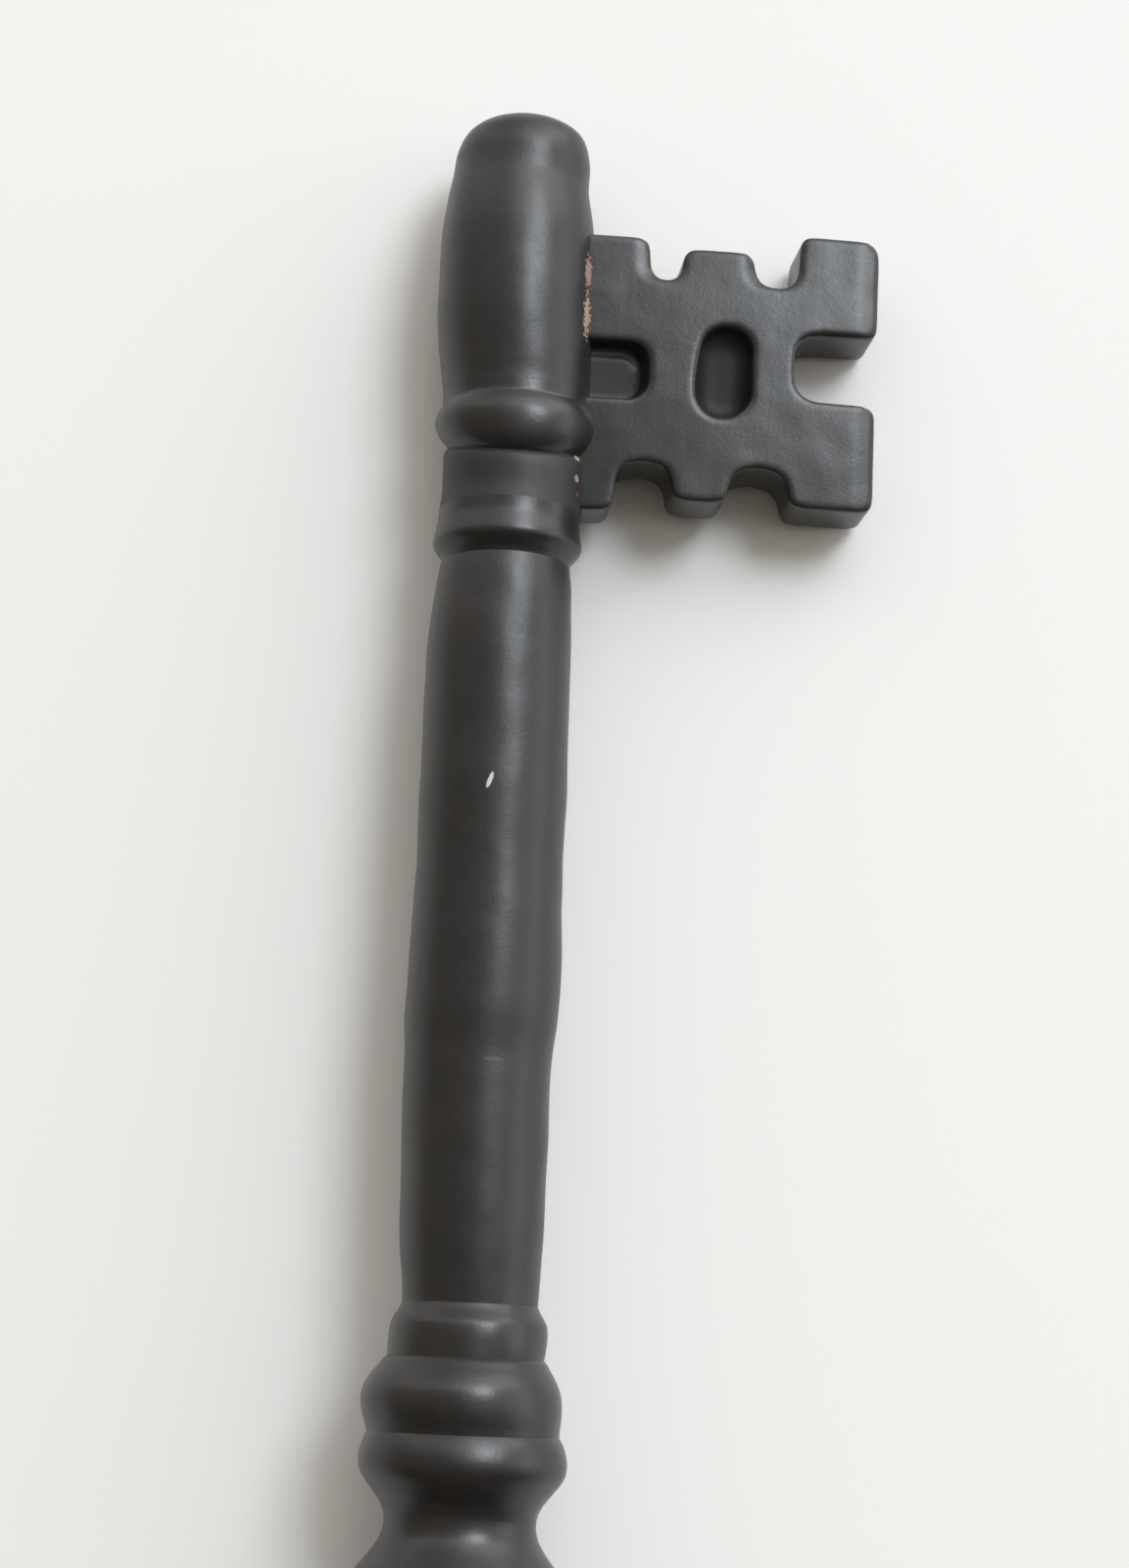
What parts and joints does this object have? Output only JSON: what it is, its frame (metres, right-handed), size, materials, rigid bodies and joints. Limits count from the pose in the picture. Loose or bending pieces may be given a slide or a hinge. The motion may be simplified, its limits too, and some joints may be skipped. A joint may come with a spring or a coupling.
{
  "type": "decorative skeleton key",
  "caption": "Large decorative skeleton key with a turned stem, beaded collars, a notched bit and a plain oval bow.",
  "frame": {"origin": "under the middle of the key's box, level with its lowest round", "axes": "+Y along the stem towards the tip, +X towards the bit, +Z out of the key's front"},
  "size_m": [0.092, 0.2886, 0.032],
  "materials": {
    "blackened_stem": "satin black, brushed on",
    "blackened_bit": "satin black, worn to bare metal along its root",
    "blackened_bow": "satin black, brushed on",
    "pin_steel": "turned bright"
  },
  "bodies": {
    "root": {"tip_barrel": "blackened_stem", "upper_collar": "blackened_stem", "neck_sleeve": "blackened_stem", "lower_collar": "blackened_stem", "shank": "blackened_stem", "first_bead": "blackened_stem", "second_bead": "blackened_stem", "third_bead": "blackened_stem", "bow_boss": "blackened_stem", "bow": "blackened_bow", "bit": "blackened_bit", "bit_dowel_upper": "pin_steel", "bit_dowel_lower": "pin_steel", "shank_pin": "pin_steel", "bow_pin": "pin_steel"}
  },
  "joints": []
}
